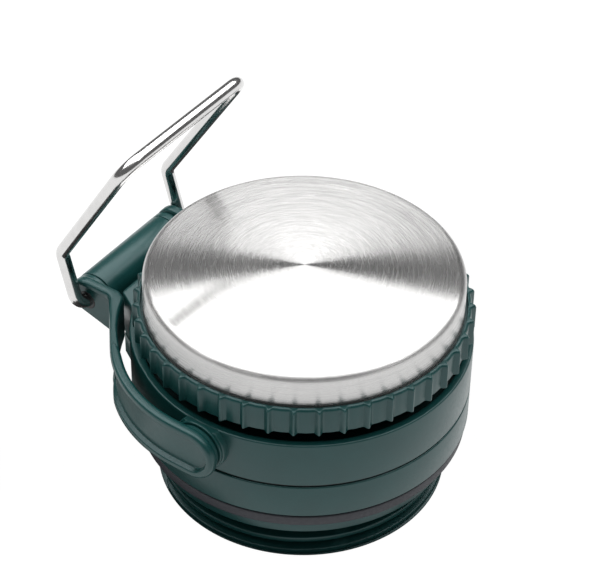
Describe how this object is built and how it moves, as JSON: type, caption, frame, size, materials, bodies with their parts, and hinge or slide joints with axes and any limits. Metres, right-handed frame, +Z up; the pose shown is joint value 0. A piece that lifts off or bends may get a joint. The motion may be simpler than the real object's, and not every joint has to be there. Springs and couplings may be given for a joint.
{
  "type": "screw-in bottle stopper",
  "caption": "Insulated screw-in stopper for a wide-mouth bottle, with ribbed steel-topped cap, folding carry handle and wire bail.",
  "frame": {"origin": "centre of the skirt's lower face, on the screw axis, where the stopper stands on a table", "axes": "+Z up along the screw axis, from the threaded skirt to the steel cap; +Y along the handle's pivot axis; the folded handle points towards -X"},
  "size_m": [0.1169, 0.11, 0.1057],
  "materials": {
    "green_plastic": "fine satin moulded",
    "gasket_silicone": "soft matte",
    "clear_silicone": "soft matte, milky",
    "black_plastic": "matte",
    "foam": "open-cell matte",
    "steel_pin": "turned",
    "brushed_steel": "circular brushed",
    "steel_wire": "polished wire"
  },
  "bodies": {
    "stopper": {"threaded_skirt": "green_plastic", "skirt_gasket": "gasket_silicone", "lower_band": "green_plastic", "parting_ring": "black_plastic", "upper_band": "green_plastic", "collar_deck": "green_plastic", "pour_neck": "green_plastic", "foam_core": "foam", "pivot_pins": "steel_pin", "pivot_washers": "green_plastic"},
    "cap_rise": {"cap_seal": "clear_silicone", "cap_slip_ring": "black_plastic"},
    "cap": {"grip_ring": "green_plastic", "steel_shell": "brushed_steel", "cap_liner": "green_plastic", "cap_foam": "foam"},
    "handle": {"handle_arm_near": "green_plastic", "handle_arm_far": "green_plastic", "grip_bar": "green_plastic", "ear_bushings": "black_plastic"},
    "bail": {"wire_bail": "steel_wire", "bail_stops": "steel_pin"}
  },
  "joints": [
    {"name": "cap_rise_slide", "type": "slide", "parent": "stopper", "child": "cap_rise", "axis": [0, 0, 1], "range_m": [0, 0.00031]},
    {"name": "cap_turn", "type": "hinge", "parent": "cap_rise", "child": "cap", "pos_m": [0, 0, 0.06], "axis": [0, 0, 1], "range_deg": [0, 36]},
    {"name": "handle_fold", "type": "hinge", "parent": "stopper", "child": "handle", "pos_m": [0, 0, 0.0424], "axis": [0, 1, 0], "range_deg": [0, 89]},
    {"name": "bail_swing", "type": "hinge", "parent": "handle", "child": "bail", "pos_m": [-0.06199, 0, 0.04348], "axis": [0, 1, 0], "range_deg": [-160, 20]}
  ],
  "couplings": [
    {"joint": "cap_rise_slide", "follows": "cap_turn", "m_per_rad": 0.00047746}
  ]
}
